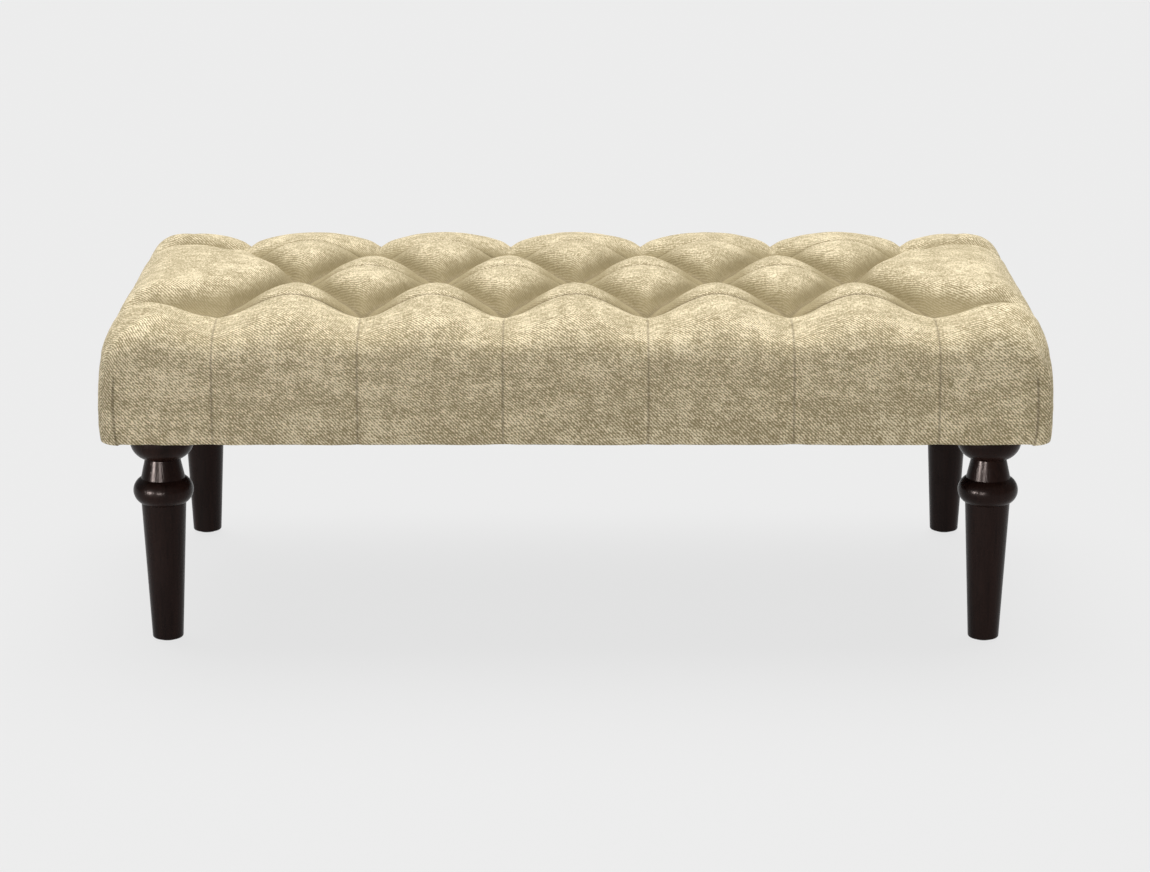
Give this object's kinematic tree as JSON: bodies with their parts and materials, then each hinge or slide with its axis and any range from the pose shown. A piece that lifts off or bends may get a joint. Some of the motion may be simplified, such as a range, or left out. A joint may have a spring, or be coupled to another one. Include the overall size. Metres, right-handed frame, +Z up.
{
  "type": "tufted footstool",
  "caption": "Long upholstered footstool: a box seat with a blind-tufted cloth cover on turned dark wooden legs, for resting feet on or sitting.",
  "frame": {"origin": "on the floor, under the middle of the seat", "axes": "+X along the length, +Y to the back, +Z up; the front is -Y"},
  "size_m": [1.1682, 0.6102, 0.432],
  "materials": {
    "linen": "antiqued linen-type cloth",
    "dark_wood": "dark stain, satin lacquer",
    "frame_wood": "sawn, unfinished",
    "plywood": "unfinished plywood",
    "foam": "open-cell foam",
    "wadding": "bonded polyester wadding",
    "twine": "waxed twine",
    "fibre": "pressed fibre",
    "dust_cloth": "black non-woven cloth",
    "steel": "zinc plated",
    "nylon": "moulded nylon"
  },
  "bodies": {
    "root": {"brace_screws": "steel", "corner_block_screws": "steel", "cover_staples": "steel", "deck_screws": "steel", "dust_cover": "dust_cloth", "dust_cover_staples": "steel", "foam_pad": "foam", "front_left_corner_block": "frame_wood", "front_left_foot_glide": "nylon", "front_left_hanger_bolt": "steel", "front_left_leg": "dark_wood", "front_left_leg_plate": "steel", "front_rail": "frame_wood", "front_right_corner_block": "frame_wood", "front_right_foot_glide": "nylon", "front_right_hanger_bolt": "steel", "front_right_leg": "dark_wood", "front_right_leg_plate": "steel", "left_cross_brace": "frame_wood", "left_rail": "frame_wood", "leg_plate_screws": "steel", "rail_dowels": "frame_wood", "rear_left_corner_block": "frame_wood", "rear_left_foot_glide": "nylon", "rear_left_hanger_bolt": "steel", "rear_left_leg": "dark_wood", "rear_left_leg_plate": "steel", "rear_rail": "frame_wood", "rear_right_corner_block": "frame_wood", "rear_right_foot_glide": "nylon", "rear_right_hanger_bolt": "steel", "rear_right_leg": "dark_wood", "rear_right_leg_plate": "steel", "right_cross_brace": "frame_wood", "right_rail": "frame_wood", "seat_deck": "plywood", "tuft_anchors": "fibre", "tuft_twines": "twine", "tufted_cover": "linen", "wadding": "wadding"}
  },
  "joints": []
}
